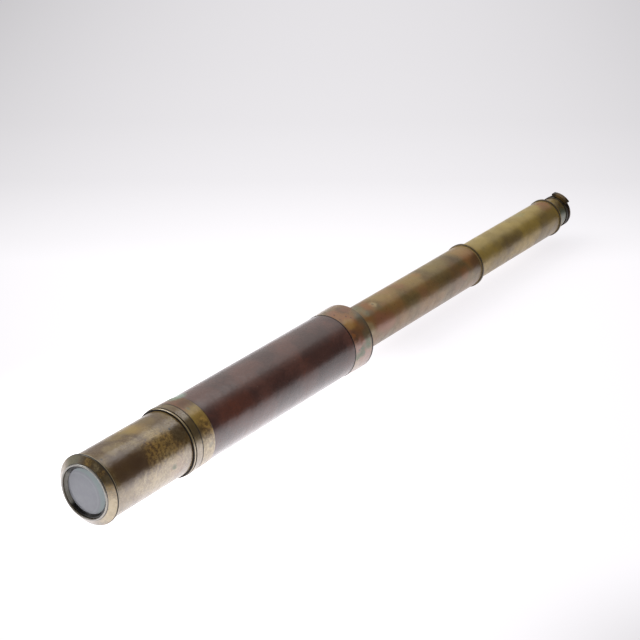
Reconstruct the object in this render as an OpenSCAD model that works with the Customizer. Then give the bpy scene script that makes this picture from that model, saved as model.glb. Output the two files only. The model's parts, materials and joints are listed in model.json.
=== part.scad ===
// Hand telescope with two brass draw tubes, drawn fully out and lying level.
// X runs along the optical axis from the objective to the eye, Z is up, and the
// origin is on the surface that it lies on, below the middle of its length.

/* [Objective] */
// Diameter of the two objective lenses
lens_d = 37; // [34:0.1:40]
// Width of the rounded lip round the objective
lip_w = 1.25; // [1:0.05:2]
// How far the bezel flares out past the front tube
bezel_flare = 1.1; // [0.6:0.1:2]
// Length of the bezel from its lip to its rear edge
bezel_l = 6.25; // [6:0.05:8]
// Length of the bezel's plain outer land
bezel_land = 1; // [0.6:0.1:1.6]
// Width of the groove between the bezel and the front tube
bezel_groove = 0.4; // [0.2:0.1:0.8]
// Length of the bezel's threaded skirt inside the front tube
bezel_skirt = 8; // [6:0.5:14]

/* [Front tube and collar] */
// Length of the front tube that shows
front_tube_l = 75.95; // [60:0.05:100]
// How much smaller in radius the front tube is than the barrel
front_tube_step = 1; // [0.6:0.1:1.5]
// Wall of the front tube
front_tube_wall = 1; // [0.8:0.1:1.2]
// Length of the collar that joins the front tube to the barrel
collar_l = 8.8; // [8:0.1:14]
// Length of the rounded bead at the collar's front
collar_bead = 1.7; // [1.7:0.1:3]
// How far the collar stands proud of the barrel
collar_proud = 0.7; // [0.4:0.1:1.2]
// Depth of the collar's socket for the front tube
socket_l = 5; // [4:0.5:6.5]

/* [Barrel] */
// Outer diameter of the wooden barrel
barrel_d = 50; // [48:0.5:60]
// Length of the barrel between its ferrules
barrel_l = 168.1; // [140:0.1:200]
// Wall of the barrel
barrel_wall = 3.6; // [3.2:0.1:4.2]
// Length of the front ferrule
front_ferrule_l = 13.7; // [12:0.1:20]
// Length of the rear ferrule
rear_ferrule_l = 22.8; // [20:0.1:30]
// How far the rear ferrule's end band stands proud of the barrel
rear_proud = 0.7; // [0.3:0.05:1.2]
// Length of the rear ferrule's plain end band
rear_band = 6; // [4:0.5:9]
// Wall of the ferrules over the barrel's turned-down ends
ferrule_wall = 0.85; // [0.6:0.05:1.1]
// Distance of the ferrule pins from the rear ferrule's front edge
pin_inset = 4.4; // [3:0.1:6]
// Diameter of the ferrule pins
pin_d = 1.4; // [1:0.1:1.8]

/* [First draw] */
// Outer diameter of the first draw tube
draw_1_d = 34.9; // [33:0.1:37]
// Length of the first draw outside the barrel, with its end ring
draw_1_out = 174; // [140:0.5:180]
// Length of the first draw that stays inside the barrel
draw_1_in = 40; // [36:0.5:60]
// How far the first end ring stands proud of its tube
ring_1_proud = 1.05; // [0.6:0.05:1.6]
// Width of the first end ring
ring_1_w = 3; // [2:0.1:5]

/* [Second draw] */
// Outer diameter of the second draw tube
draw_2_d = 31.6; // [31:0.05:31.9]
// Length of the second draw outside the first, with its end ring
draw_2_out = 133.3; // [110:0.1:140]
// Length of the second draw that stays inside the first
draw_2_in = 42; // [38:0.5:60]
// How far the second end ring stands proud of its tube
ring_2_proud = 0.9; // [0.5:0.05:1.4]
// Width of the second end ring
ring_2_w = 2.5; // [2:0.1:4]
// Wall of both draw tubes
draw_wall = 0.6; // [0.5:0.02:0.66]
// Length of each guide ring
guide_l = 6; // [4:0.5:8]

/* [Erector] */
// Outer diameter of the erector tube
erector_d = 24; // [22:0.5:26]
// Length of the erector tube
erector_l = 82; // [60:1:100]
// Diameter of the hole in the erector's stop
erector_stop_d = 6; // [3:0.5:10]

/* [Eyepiece] */
// Outer diameter of the eyepiece head's rear flange
eyepiece_d = 28; // [27.8:0.1:29]
// How much smaller in radius the eyepiece head is than its flange
eyepiece_waist = 0.8; // [0.3:0.1:0.8]
// Length of the flange ahead of the shutter
eye_flange_l = 2.9; // [2:0.1:5]
// Length of the eyepiece head behind the second end ring
eyepiece_l = 21; // [20:0.5:30]
// Outer diameter of the eyepiece's inner tube
eye_tube_d = 24; // [22:0.1:24.5]
// Length of the eyepiece's inner tube ahead of the head
eye_tube_in = 30; // [24:1:40]
// Diameter of the eye hole
eye_hole_d = 6; // [4:0.1:6.4]
// Diameter of the eye lens
eye_lens_d = 13.9; // [12:0.1:15]
// Thickness of the eye cap's disc
cap_t = 1.7; // [1.4:0.1:2.4]

/* [Shutter] */
// Thickness of the shutter plate
shutter_t = 1.6; // [1:0.1:2.2]
// How far the thumb lug stands out past the eyepiece head
lug_reach = 3.6; // [2.5:0.1:5]
// How far the lug reaches forward over the flange of the eyepiece head
lug_fold_l = 3; // [0.5:0.1:3.2]
// Half of the angle that the lug spans round the axis
lug_half_angle = 28; // [20:1:32]
// Angle of the lug from the top, positive towards the -Y side
lug_angle = 20; // [0:1:60]
// Distance of the shutter's pivot from the optical axis
pivot_r = 10.3; // [10:0.1:10.4]
// Diameter of the pivot screw's shank
pivot_d = 1.6; // [1.2:0.1:1.8]

/* [Fits] */
// Radial clearance between pieces that are screwed or seated together
seat_c = 0.05; // [0.03:0.01:0.08]
// Radial running clearance of the draws in their bushes and of the pivot
slide_c = 0.05; // [0.03:0.01:0.08]
// Radial clearance of the guide rings in their bores
guide_c = 0.08; // [0.05:0.01:0.1]
// Clearance between moving pieces that never bear on each other
free_c = 0.3; // [0.3:0.05:0.5]

/* [Hidden] */
$fn = 96;

// Stations along the axis, counted from the front of the lip
s_tube = bezel_l + bezel_groove;
s_collar = s_tube + front_tube_l;
s_front_ferrule = s_collar + collar_l;
s_barrel = s_front_ferrule + front_ferrule_l;
s_rear_ferrule = s_barrel + barrel_l;
s_mouth = s_rear_ferrule + rear_ferrule_l;
s_ring_1 = s_mouth + draw_1_out;
s_ring_2 = s_ring_1 + draw_2_out;
total_l = s_ring_2 + eyepiece_l;
s_draw_1 = s_mouth - draw_1_in;
s_draw_2 = s_ring_1 - draw_2_in;

// Radii of the tubes and of what fits them
barrel_r = barrel_d / 2;
barrel_bore = barrel_r - barrel_wall;
spigot_r = barrel_r - ferrule_wall - seat_c;
front_tube_r = barrel_r - front_tube_step;
front_bore = front_tube_r - front_tube_wall;
collar_r = barrel_r + collar_proud;
rear_r = barrel_r + rear_proud;
draw_1_r = draw_1_d / 2;
draw_1_bore = draw_1_r - draw_wall;
draw_2_r = draw_2_d / 2;
draw_2_bore = draw_2_r - draw_wall;
ring_1_r = draw_1_r + ring_1_proud;
ring_2_r = draw_2_r + ring_2_proud;
bezel_r = front_tube_r + bezel_flare;
axis_z = max(collar_r, rear_r, bezel_r);

// Objective lenses and the seat that holds them in the bezel
lens_r = lens_d / 2;
lens_seat_r = lens_r + 0.15;
lip_r = lens_seat_r + lip_w;
lip_round = 0.45;
lens_aperture_r = lens_r - 2.2;
retainer_front = 1.3;
retainer_rear = 3.1;
lens_front = 3.3;
crown_edge = 1.4;
lens_air = 0.25;
lens_rear = 8.6;
crown_front_curve = 240;
doublet_curve = 170;
seat_wall = 1.9;
spacer_w = 0.6;
spacer_skin = 0.02;
skirt_wall = 1.45;

// Collar, ferrules and baffles
bead_proud = 0.5;
nose_wall = 1.5;
nose_bore = barrel_bore + free_c;
ferrule_head = 4;
rear_spigot = 11;
mouth_t = 2.8;
edge_round = 0.8;
edge_break = 0.2;
fine_break = 0.15;
rim_break = 0.3;
tail_break = 0.4;
ferrule_proud = 0.1;
bezel_relief = 0.5;
collar_groove = 0.5;
bead_round_to = 60;
baffle_t = 1;
front_baffle_at = 29.8;
front_baffle_hole = 15;
draw_1_baffle_at = 8;
draw_1_baffle_hole = 12;
pin_angles = [5, 84, 185, 265];
pin_depth = 1.4;
pin_proud = 0.12;

// Bush of the first draw
bush_wall = 1.2;
bush_flange_l = 6;
bush_slot_w = 1.5;
bush_slot_l = 20;
bush_slots = 4;
bush_slot_turn = 45;
full_turn = 360;
sector_steps = 12;

// Erector and eyepiece internals
inner_wall = 0.6;
seat_ridge = 0.8;
ridge_l = 1;
small_lens_t = 3.5;
small_ring_t = 1.4;
small_ring_w = 1.6;
small_lens_edge = 1.6;
small_ring_inset = 0.5;
flange_l = 4;
sleeve_l = 6;
ring_1_lip = 1.4;
ring_2_lip = 1.3;
erector_r = erector_d / 2;
erector_bore = erector_r - inner_wall;
eye_tube_r = eye_tube_d / 2;
eye_tube_bore = eye_tube_r - inner_wall;
nose_r = eye_tube_r + 0.9;
eyepiece_r = eyepiece_d / 2;
eye_body_r = eyepiece_r - eyepiece_waist;
slot_gap = 0.1;
slot_l = shutter_t + 2 * slot_gap;
head_l = eyepiece_l - cap_t - slot_l;
head_wall = 1.5;
chamber_l = 5;
eye_tube_seat = head_l - head_wall - chamber_l;
eye_lens_r = eye_lens_d / 2;
field_stop_hole = 7;
field_stop_at = 8;
body_hole_r = eye_hole_d / 2 + 1;

// Shutter
cover_r = eye_hole_d / 2 + 1.2;
boss_r = 2.2;
web_half = 3;
lug_root_r = eyepiece_r - 1.2;
lug_r = eyepiece_r + lug_reach;
lug_fold_r = eyepiece_r + 1.1;
lug_round = 0.9;
cap_wall = 1;
wall_from = 115;
wall_to = 315;
screw_head_r = 1.5;
screw_head_t = 0.8;
screw_depth = 4;
screw_slot = 0.35;
cup_depth = 0.9;
cup_r = 8.5;
overlap = 1;

brass = "darkkhaki";
dark_brass = "darkolivegreen";
old_brass = "peru";
blacked = "dimgray";
wood = "saddlebrown";
lens_glass = "lightsteelblue";

// Points on an arc, in degrees
function arc(cx, cy, r, from, to, n = 8) =
    [for (i = [0:n]) let (a = from + (to - from) * i / n) [cx + r * cos(a), cy + r * sin(a)]];

// Depth of a spherical surface at a distance from its axis
function sag(curve, r) = curve - sqrt(curve * curve - r * r);

// Puts a turned piece on the optical axis, its own Z along +X from a station
module on_axis(s) {
    translate([s - total_l / 2, 0, axis_z]) rotate([0, 90, 0]) children();
}

// A plain ring
module ring(outer, inner, from, to) {
    rotate_extrude() translate([inner, from]) square([outer - inner, to - from]);
}

// A lens whose faces lie at front and rear on the axis; a curve of 0 is flat and
// a negative one is hollow
module lens(r, front, rear, front_curve, rear_curve, steps = 14) {
    radii = [for (i = [0:steps]) r * i / steps];
    function face(curve, x) = curve == 0 ? 0 : sign(curve) * sag(abs(curve), x);
    rotate_extrude() polygon(concat(
        [for (x = radii) [x, front + face(front_curve, x)]],
        [for (i = [steps:-1:0]) [radii[i], rear - face(rear_curve, radii[i])]]));
}

// A small lens with equal curves on both faces between two stations
module small_lens(r, from, to) {
    bulge = (to - from - small_lens_edge) / 2;
    curve = (r * r + bulge * bulge) / (2 * bulge);
    lens(r, from, to, curve, curve);
}

// A wedge round the axis between two angles, for cutting
module sector(from, to, r) {
    step = (to - from) / sector_steps;
    rim = [for (i = [0:sector_steps]) [r * cos(from + step * i), r * sin(from + step * i)]];
    polygon(concat([[0, 0]], rim));
}

// Lays a shape drawn with the thumb lug along +X at the lug's real angle
module at_lug() {
    rotate([0, 0, 180 + lug_angle]) children();
}

// Radial holes or pins of the rear ferrule
module pin_row(r, from, to) {
    for (a = pin_angles)
        rotate([0, 0, 180 + a]) translate([0, 0, pin_inset]) rotate([0, 90, 0])
            translate([0, 0, from]) cylinder(h = to - from, r = r);
}

module objective_bezel() {
    flare_rear = bezel_l - bezel_land;
    color(dark_brass) on_axis(0) rotate_extrude() polygon(concat(
        arc(lens_seat_r + lip_round, lip_round, lip_round, 180, 270),
        arc(lip_r - lip_round, lip_round, lip_round, 270, 360),
        [[lip_r, lip_round + 0.5], [lip_r + 0.35, lip_round + 0.65]],
        arc(bezel_r - edge_round, flare_rear, edge_round, -45, 0),
        [[bezel_r, bezel_l], [front_bore + bezel_relief, bezel_l], [front_bore + bezel_relief, s_tube],
         [front_bore - seat_c, s_tube], [front_bore - seat_c, s_tube + bezel_skirt],
         [front_bore - seat_c - skirt_wall, s_tube + bezel_skirt],
         [front_bore - seat_c - skirt_wall, lens_rear + seat_wall],
         [lens_aperture_r, lens_rear + seat_wall], [lens_aperture_r, lens_rear], [lens_seat_r, lens_rear]]));
}

module lens_retaining_ring() {
    color(blacked) on_axis(0) rotate_extrude() polygon([
        [lens_seat_r - seat_c, retainer_front], [lens_seat_r - seat_c, retainer_rear],
        [lens_aperture_r, retainer_rear], [lens_aperture_r, retainer_rear - 0.5],
        [lens_seat_r - 1.1, retainer_front]]);
}

module crown_lens() {
    front = lens_front - sag(crown_front_curve, lens_r);
    rear = lens_front + crown_edge + sag(doublet_curve, lens_r);
    color(lens_glass) on_axis(0) lens(lens_r, front, rear, crown_front_curve, doublet_curve);
}

module lens_spacer() {
    crown_rear = lens_front + crown_edge;
    function edge(r) = crown_rear + sag(doublet_curve, lens_r) - sag(doublet_curve, r);
    inner = lens_r - spacer_w;
    color(blacked) on_axis(0) rotate_extrude() polygon([
        [inner, edge(inner) + spacer_skin], [lens_r, edge(lens_r) + spacer_skin],
        [lens_r, edge(lens_r) + lens_air - spacer_skin], [inner, edge(inner) + lens_air - spacer_skin]]);
}

module flint_lens() {
    front = lens_front + crown_edge + lens_air + sag(doublet_curve, lens_r);
    color(lens_glass) on_axis(0) lens(lens_r, front, lens_rear, -doublet_curve, 0);
}

module front_tube() {
    color(brass) on_axis(s_tube) ring(front_tube_r, front_bore, 0, front_tube_l + socket_l);
}

module front_baffle() {
    color(blacked) on_axis(s_tube + front_baffle_at)
        ring(front_bore - seat_c, front_baffle_hole, 0, baffle_t);
}

module objective_collar() {
    bead_r = barrel_r + bead_proud;
    head_r = nose_bore + nose_wall;
    color(dark_brass) on_axis(s_collar) rotate_extrude() polygon(concat(
        [[front_tube_r + seat_c, 0], [bead_r - edge_round, 0]],
        arc(bead_r - edge_round, edge_round, edge_round, -90, 0),
        arc(bead_r - edge_round, collar_bead - edge_round, edge_round, 0, bead_round_to),
        [[bead_r - collar_groove, collar_bead], [bead_r - collar_groove, collar_bead + collar_groove],
         [collar_r - fine_break, collar_bead + collar_groove],
         [collar_r, collar_bead + collar_groove + fine_break],
         [collar_r, collar_l - fine_break], [collar_r - fine_break, collar_l], [head_r, collar_l],
         [head_r, collar_l + ferrule_head - seat_c], [nose_bore, collar_l + ferrule_head - seat_c],
         [nose_bore, socket_l], [front_tube_r + seat_c, socket_l]]));
}

module front_ferrule() {
    head_r = nose_bore + nose_wall + seat_c;
    color(old_brass) on_axis(s_front_ferrule) rotate_extrude() polygon([
        [head_r, 0], [collar_r - edge_break, 0], [collar_r, edge_break],
        [barrel_r + tail_break, front_ferrule_l - tail_break],
        [barrel_r + ferrule_proud, front_ferrule_l], [spigot_r + seat_c, front_ferrule_l],
        [spigot_r + seat_c, ferrule_head], [head_r, ferrule_head]]);
}

module barrel_tube() {
    front_spigot = front_ferrule_l - ferrule_head;
    color(wood) difference() {
        on_axis(s_barrel) rotate_extrude() polygon([
            [barrel_bore, -front_spigot], [spigot_r, -front_spigot], [spigot_r, 0], [barrel_r, 0],
            [barrel_r, barrel_l], [spigot_r, barrel_l], [spigot_r, barrel_l + rear_spigot],
            [barrel_bore, barrel_l + rear_spigot]]);
        on_axis(s_rear_ferrule) pin_row(pin_d / 2 + seat_c, spigot_r - pin_depth, spigot_r + overlap);
    }
}

module rear_ferrule() {
    color(old_brass) difference() {
        on_axis(s_rear_ferrule) rotate_extrude() polygon(concat(
            [[spigot_r + seat_c, 0], [barrel_r + ferrule_proud, 0],
             [barrel_r + ferrule_proud + fine_break, rim_break],
             [rear_r, rear_ferrule_l - rear_band]],
            arc(rear_r - edge_round / 2, rear_ferrule_l - edge_round / 2, edge_round / 2, 0, 90, 5),
            [[draw_1_r + free_c, rear_ferrule_l], [draw_1_r + free_c, rear_ferrule_l - mouth_t],
             [barrel_bore, rear_ferrule_l - mouth_t], [barrel_bore, rear_spigot],
             [spigot_r + seat_c, rear_spigot]]));
        on_axis(s_rear_ferrule) pin_row(pin_d / 2 + seat_c, spigot_r - overlap, rear_r + overlap);
    }
}

module ferrule_pins() {
    color(blacked) on_axis(s_rear_ferrule)
        pin_row(pin_d / 2, spigot_r - pin_depth + seat_c, barrel_r + (rear_proud + pin_proud) / 2);
}

module draw_1_bush() {
    bore = draw_1_r + slide_c;
    rear = s_mouth - mouth_t;
    front = s_draw_1 + guide_l;
    color(brass) difference() {
        on_axis(0) rotate_extrude() polygon([
            [bore, front], [bore + bush_wall, front], [bore + bush_wall, rear - bush_flange_l],
            [barrel_bore - seat_c, rear - bush_flange_l], [barrel_bore - seat_c, rear], [bore, rear]]);
        for (i = [0:bush_slots - 1])
            on_axis(front - overlap) rotate([0, 0, full_turn * i / bush_slots + bush_slot_turn])
                translate([0, -bush_slot_w / 2, 0]) cube([barrel_r, bush_slot_w, bush_slot_l + overlap]);
    }
}

module draw_1_tube() {
    color(brass) on_axis(s_draw_1)
        ring(draw_1_r, draw_1_bore, 0, draw_1_in + draw_1_out - ring_1_lip);
}

module draw_1_guide_ring() {
    color(brass) on_axis(s_draw_1) ring(barrel_bore - guide_c, draw_1_r + seat_c, 0, guide_l);
}

module draw_1_baffle() {
    color(blacked) on_axis(s_draw_1 + draw_1_baffle_at)
        ring(draw_1_bore - seat_c, draw_1_baffle_hole, 0, baffle_t);
}

module draw_2_bush() {
    color(brass) on_axis(0)
        ring(draw_1_bore - seat_c, draw_2_r + slide_c, s_draw_2 + guide_l, s_ring_1 - ring_1_lip);
}

module draw_1_end_ring() {
    round = ring_1_proud / 2;
    color(brass) on_axis(s_ring_1 - ring_1_w) rotate_extrude() polygon(concat(
        [[draw_1_r + seat_c, 0], [ring_1_r - round, 0]],
        arc(ring_1_r - round, round, round, -90, 0),
        arc(ring_1_r - round, ring_1_w - round, round, 0, 90),
        [[draw_2_r + free_c, ring_1_w], [draw_2_r + free_c, ring_1_w - ring_1_lip],
         [draw_1_r + seat_c, ring_1_w - ring_1_lip]]));
}

module draw_2_tube() {
    color(brass) on_axis(s_draw_2)
        ring(draw_2_r, draw_2_bore, 0, draw_2_in + draw_2_out - ring_2_lip);
}

module draw_2_guide_ring() {
    color(brass) on_axis(s_draw_2) ring(draw_1_bore - guide_c, draw_2_r + seat_c, 0, guide_l);
}

module draw_2_end_ring() {
    round = ring_2_proud / 2;
    bore = nose_r + seat_c;
    color(brass) on_axis(s_ring_2 - ring_2_w) rotate_extrude() polygon(concat(
        [[draw_2_r + seat_c, 0], [ring_2_r - round, 0]],
        arc(ring_2_r - round, round, round, -90, 0),
        arc(ring_2_r - round, ring_2_w - round, round, 0, 90),
        [[bore, ring_2_w], [bore, ring_2_w - sleeve_l], [draw_2_bore - seat_c, ring_2_w - sleeve_l],
         [draw_2_bore - seat_c, ring_2_w - ring_2_lip], [draw_2_r + seat_c, ring_2_w - ring_2_lip]]));
}

module erector_tube() {
    bore = erector_bore + inner_wall / 3;
    ridge_r = erector_bore - seat_ridge;
    front_seat = small_ring_inset + small_ring_t + small_lens_t;
    rear_seat = erector_l - front_seat;
    color(brass) on_axis(s_draw_2) rotate_extrude() polygon([
        [erector_bore, 0], [draw_2_bore - seat_c, 0], [draw_2_bore - seat_c, flange_l],
        [erector_r, flange_l], [erector_r, erector_l], [erector_bore, erector_l],
        [erector_bore, rear_seat], [ridge_r, rear_seat], [ridge_r, rear_seat - ridge_l],
        [bore, rear_seat - ridge_l], [bore, front_seat + ridge_l], [ridge_r, front_seat + ridge_l],
        [ridge_r, front_seat], [erector_bore, front_seat]]);
}

module erector_front_lens() {
    from = small_ring_inset + small_ring_t;
    color(lens_glass) on_axis(s_draw_2) small_lens(erector_bore - seat_c, from, from + small_lens_t);
}

module erector_front_ring() {
    r = erector_bore - seat_c;
    color(blacked) on_axis(s_draw_2)
        ring(r, r - small_ring_w, small_ring_inset, small_ring_inset + small_ring_t);
}

module erector_stop() {
    color(blacked) on_axis(s_draw_2 + erector_l / 2)
        ring(erector_bore + inner_wall / 3 - seat_c, erector_stop_d / 2, -baffle_t / 2, baffle_t / 2);
}

module erector_rear_lens() {
    to = erector_l - small_ring_inset - small_ring_t;
    color(lens_glass) on_axis(s_draw_2) small_lens(erector_bore - seat_c, to - small_lens_t, to);
}

module erector_rear_ring() {
    r = erector_bore - seat_c;
    to = erector_l - small_ring_inset;
    color(blacked) on_axis(s_draw_2) ring(r, r - small_ring_w, to - small_ring_t, to);
}

module eyepiece_body() {
    bore = eye_tube_r + seat_c;
    chamber = eye_lens_r + seat_c;
    color(dark_brass) difference() {
        on_axis(s_ring_2) rotate_extrude() polygon([
            [bore, -sleeve_l], [nose_r, -sleeve_l], [nose_r, 0],
            [eye_body_r - edge_break, 0], [eye_body_r, edge_break],
            [eye_body_r, head_l - eye_flange_l], [eyepiece_r - edge_break, head_l - eye_flange_l],
            [eyepiece_r, head_l - eye_flange_l + edge_break], [eyepiece_r, head_l - edge_break],
            [eyepiece_r - edge_break, head_l], [body_hole_r, head_l], [body_hole_r, head_l - head_wall],
            [chamber, head_l - head_wall], [chamber, eye_tube_seat],
            [bore, eye_tube_seat]]);
        on_axis(s_ring_2 + head_l - screw_depth) at_lug()
            translate([-pivot_r, 0, 0]) cylinder(h = screw_depth + overlap, r = pivot_d / 2 + seat_c);
    }
}

module eyepiece_tube() {
    ridge_r = eye_tube_bore - seat_ridge;
    bore = eye_tube_bore + inner_wall / 3;
    seat = small_ring_inset + small_ring_t + small_lens_t;
    length = eye_tube_in + eye_tube_seat;
    color(brass) on_axis(s_ring_2 - eye_tube_in) rotate_extrude() polygon([
        [eye_tube_bore, 0], [eye_tube_r, 0], [eye_tube_r, length], [bore, length], [bore, seat + ridge_l],
        [ridge_r, seat + ridge_l], [ridge_r, seat], [eye_tube_bore, seat]]);
}

module field_lens() {
    from = small_ring_inset + small_ring_t;
    color(lens_glass) on_axis(s_ring_2 - eye_tube_in)
        small_lens(eye_tube_bore - seat_c, from, from + small_lens_t);
}

module field_lens_ring() {
    r = eye_tube_bore - seat_c;
    color(blacked) on_axis(s_ring_2 - eye_tube_in)
        ring(r, r - small_ring_w, small_ring_inset, small_ring_inset + small_ring_t);
}

module field_stop() {
    color(blacked) on_axis(s_ring_2 - field_stop_at)
        ring(eye_tube_bore + inner_wall / 3 - seat_c, field_stop_hole, 0, baffle_t);
}

module eye_lens() {
    rear = head_l - head_wall;
    color(lens_glass) on_axis(s_ring_2) small_lens(eye_lens_r, rear - small_lens_t, rear);
}

module eye_lens_ring() {
    rear = head_l - head_wall - small_lens_t;
    color(blacked) on_axis(s_ring_2) ring(eye_lens_r, eye_lens_r - small_ring_w, rear - small_ring_t, rear);
}

// A disc with a shallow cup, and a rim cut away where the shutter swings
module eye_cap() {
    color(blacked) on_axis(s_ring_2 + head_l) difference() {
        rotate_extrude() polygon([
            [eyepiece_r - cap_wall, 0], [eyepiece_r, 0], [eyepiece_r, slot_l + cap_t - rim_break],
            [eyepiece_r - rim_break, slot_l + cap_t], [cup_r, slot_l + cap_t],
            [eye_hole_d / 2, slot_l + cap_t - cup_depth], [eye_hole_d / 2, slot_l],
            [eyepiece_r - cap_wall, slot_l]]);
        at_lug() translate([0, 0, -overlap]) linear_extrude(slot_l + overlap)
            sector(wall_to - full_turn, wall_from, 2 * eyepiece_r);
        at_lug() translate([-pivot_r, 0, 0]) {
            cylinder(h = slot_l + cap_t + overlap, r = pivot_d / 2 + seat_c);
            translate([0, 0, slot_l + cap_t - screw_head_t])
                cylinder(h = screw_head_t + overlap, r = screw_head_r + seat_c);
        }
    }
}

module shutter_screw() {
    top = head_l + slot_l + cap_t;
    color(blacked) on_axis(s_ring_2) at_lug() translate([-pivot_r, 0, 0]) difference() {
        union() {
            translate([0, 0, head_l - screw_depth + seat_c])
                cylinder(h = top - head_l + screw_depth - seat_c - screw_head_t / 2, r = pivot_d / 2);
            translate([0, 0, top - screw_head_t]) cylinder(h = screw_head_t, r = screw_head_r);
        }
        translate([-screw_head_r, -screw_slot / 2, top - screw_slot])
            cube([2 * screw_head_r, screw_slot, screw_slot + overlap]);
    }
}

// Outline of the thumb lug from one radius outwards
module lug_outline(inner_r) {
    difference() {
        intersection() {
            difference() {
                circle(lug_r);
                circle(inner_r);
            }
            sector(-lug_half_angle, lug_half_angle, 2 * lug_r);
        }
        for (side = [-1, 1]) rotate([0, 0, side * lug_half_angle]) lug_corner(side);
    }
}

// Outline of the plate: cover over the eye hole, web to the pivot, and thumb lug
module shutter_outline() {
    difference() {
        union() {
            circle(cover_r);
            translate([-pivot_r, 0]) circle(boss_r);
            translate([-pivot_r, -boss_r]) square([pivot_r, 2 * boss_r]);
            translate([0, -web_half]) square([lug_root_r + overlap, 2 * web_half]);
            lug_outline(lug_root_r);
        }
        translate([-pivot_r, 0]) circle(pivot_d / 2 + slide_c);
    }
}

// What rounds one outer corner of the lug
module lug_corner(side) {
    difference() {
        translate([lug_r - lug_round, side > 0 ? -lug_round : -overlap])
            square([lug_round + overlap, lug_round + overlap]);
        translate([lug_r - lug_round, -side * lug_round]) circle(lug_round);
    }
}

module eyepiece_shutter() {
    color(blacked) on_axis(s_ring_2 + head_l + slot_gap) at_lug() {
        linear_extrude(shutter_t) shutter_outline();
        translate([0, 0, -lug_fold_l]) linear_extrude(lug_fold_l + overlap) lug_outline(lug_fold_r);
    }
}

objective_bezel();
lens_retaining_ring();
crown_lens();
lens_spacer();
flint_lens();
front_tube();
front_baffle();
objective_collar();
front_ferrule();
barrel_tube();
rear_ferrule();
ferrule_pins();
draw_1_bush();
draw_1_tube();
draw_1_guide_ring();
draw_1_baffle();
draw_2_bush();
draw_1_end_ring();
draw_2_tube();
draw_2_guide_ring();
draw_2_end_ring();
erector_tube();
erector_front_lens();
erector_front_ring();
erector_stop();
erector_rear_lens();
erector_rear_ring();
eyepiece_body();
eyepiece_tube();
field_lens();
field_lens_ring();
field_stop();
eye_lens();
eye_lens_ring();
eye_cap();
shutter_screw();
eyepiece_shutter();
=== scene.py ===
"""Looks of a two-draw hand telescope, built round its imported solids.

Lengths in the profiles are millimetres: s counts along the optical axis from the
front of the objective's lip, r is the radius. Angles round the axis count from the
top, positive towards the -Y side.
"""

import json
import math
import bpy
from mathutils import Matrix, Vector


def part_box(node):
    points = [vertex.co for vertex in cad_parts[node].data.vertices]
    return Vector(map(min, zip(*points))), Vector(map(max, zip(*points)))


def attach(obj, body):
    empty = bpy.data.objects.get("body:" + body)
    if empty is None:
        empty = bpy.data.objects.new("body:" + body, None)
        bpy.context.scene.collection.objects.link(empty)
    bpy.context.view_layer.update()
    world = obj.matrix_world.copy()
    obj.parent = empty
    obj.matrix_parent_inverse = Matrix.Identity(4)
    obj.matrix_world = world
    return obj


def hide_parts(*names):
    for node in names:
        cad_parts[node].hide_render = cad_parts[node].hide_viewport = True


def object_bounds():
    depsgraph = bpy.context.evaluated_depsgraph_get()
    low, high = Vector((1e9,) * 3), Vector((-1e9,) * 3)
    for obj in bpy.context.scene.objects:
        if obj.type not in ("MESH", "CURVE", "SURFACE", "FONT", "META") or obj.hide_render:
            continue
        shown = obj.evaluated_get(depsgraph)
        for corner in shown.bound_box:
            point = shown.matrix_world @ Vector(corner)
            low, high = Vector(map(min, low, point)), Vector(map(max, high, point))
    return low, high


bl_info = {
    "name": "Hand telescope",
    "version": (1, 0, 0),
    "blender": (4, 5, 0),
    "location": "View3D > Sidebar > Telescope",
    "description": "Turned brass and wood pieces of a two-draw hand telescope",
    "category": "Object",
}

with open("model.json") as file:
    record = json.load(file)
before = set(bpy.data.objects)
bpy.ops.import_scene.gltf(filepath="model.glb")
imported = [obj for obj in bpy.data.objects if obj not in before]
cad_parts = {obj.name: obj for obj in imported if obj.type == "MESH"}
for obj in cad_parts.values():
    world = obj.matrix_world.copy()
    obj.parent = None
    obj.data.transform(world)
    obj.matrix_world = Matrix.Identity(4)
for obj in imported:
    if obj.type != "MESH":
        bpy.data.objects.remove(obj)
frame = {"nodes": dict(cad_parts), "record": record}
CAD_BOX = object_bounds()

import bmesh
import bpy
from bpy.props import FloatProperty, FloatVectorProperty, IntProperty, PointerProperty
from mathutils import Matrix, Vector

MM = 0.001
FRONT_X = CAD_BOX[0][0]
AXIS_Z = (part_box("barrel_tube")[0][2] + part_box("barrel_tube")[1][2]) / 2

# Seats, bores and walls that the dressed pieces share with the solids, in millimetres
FIT = 0.05
FREE_FIT = 0.3
LENS_SEAT = 18.65
LENS_OPENING = 16.3
LENS_REAR = 8.6
CELL_BORE = 21.5
TUBE_WALL = 1
SOCKET_BORE = 24.05
COLLAR_NOSE = 23.2
COLLAR_BORE = 21.7
NOSE_SEAT = 23.25
WOOD_BORE = 21.4
WOOD_SPIGOT = 24.1
SPIGOT_BORE = 24.15
SHOULDERS = (105.1, 273.2)
DRAW_WALL = 0.6
SLEEVE_BORE = 12.95
EYE_HOLE = 5.5

# Edges sharper than this stay sharp, rims rounded by more than this get one more facet, and
# what lies within this of a rim's circle, in metres, belongs to it
SHARP_EDGE = math.radians(38)
WIDE_RIM = 0.3
ON_RIM = 2e-6

# How much metal shows through the film on old brass, and how strongly the oxide film, the
# barrel's polish and lens glass refract
METAL_SHARE = 0.3
OXIDE_IOR = 2.4
POLISH_IOR = 1.67
GLASS_IOR = 1.52

# A range node takes a value, the range's two ends and the levels there. This makes them soft.
SMOOTH = {"interpolation_type": "SMOOTHSTEP"}

# Noise moves by these steps from one seed to the next, in millimetres
CLOUD_STEP = (7.3, 3.1, 5.7)
RAGGED_STEP = (4.1, 1, 2.3)

# A stain fades between these shares of its size, and one under this size keeps a clean edge
STAIN_FADE = (1.25, 0.55)
SMALL_STAIN = 2

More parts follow.
